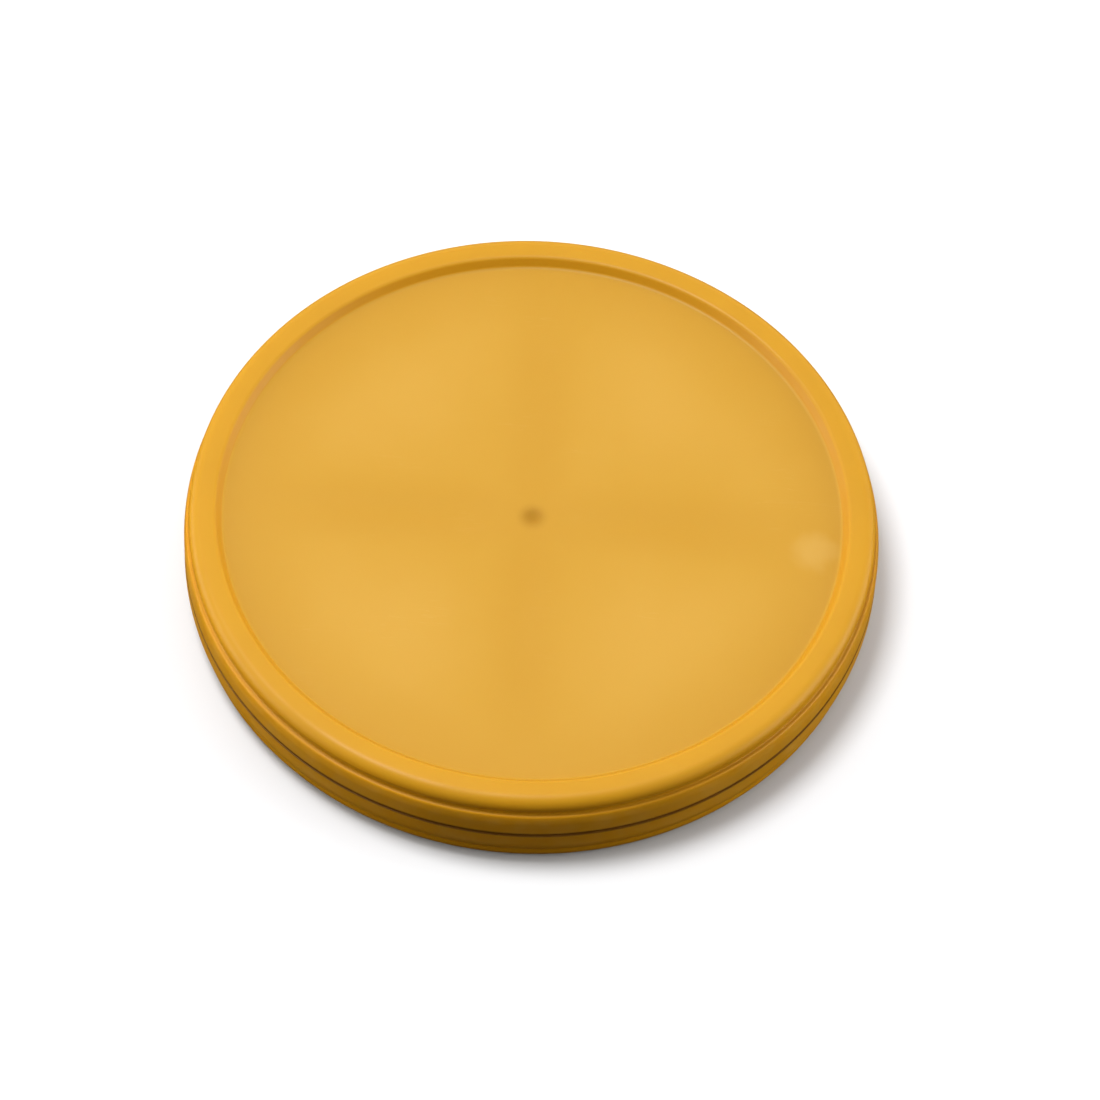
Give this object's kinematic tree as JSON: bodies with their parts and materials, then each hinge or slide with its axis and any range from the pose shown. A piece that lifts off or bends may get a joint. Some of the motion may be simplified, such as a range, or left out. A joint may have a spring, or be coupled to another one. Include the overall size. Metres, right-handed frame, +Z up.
{
  "type": "dealer button",
  "caption": "Flat round dealer button with raised rims, plain recessed faces and a stepped edge, made of matching half shells closed round a steel weight; marks the dealer's place in card games",
  "frame": {"origin": "centre of the lower rim's resting plane, on the button's axis", "axes": "+Z up along the button's axis; +X and +Y across it, each along a pair of the inner cross ribs"},
  "size_m": [0.0762, 0.0762, 0.011],
  "materials": {
    "amber_plastic": "amber yellow moulded plastic; satin on the recessed faces, a little glossier on the rims and the edge",
    "steel": "plain blanked steel ring, rolled surface with a light oil film and sheared edges"
  },
  "bodies": {
    "root": {"upper_shell": "amber_plastic", "lower_shell": "amber_plastic", "steel_weight": "steel"}
  },
  "joints": []
}
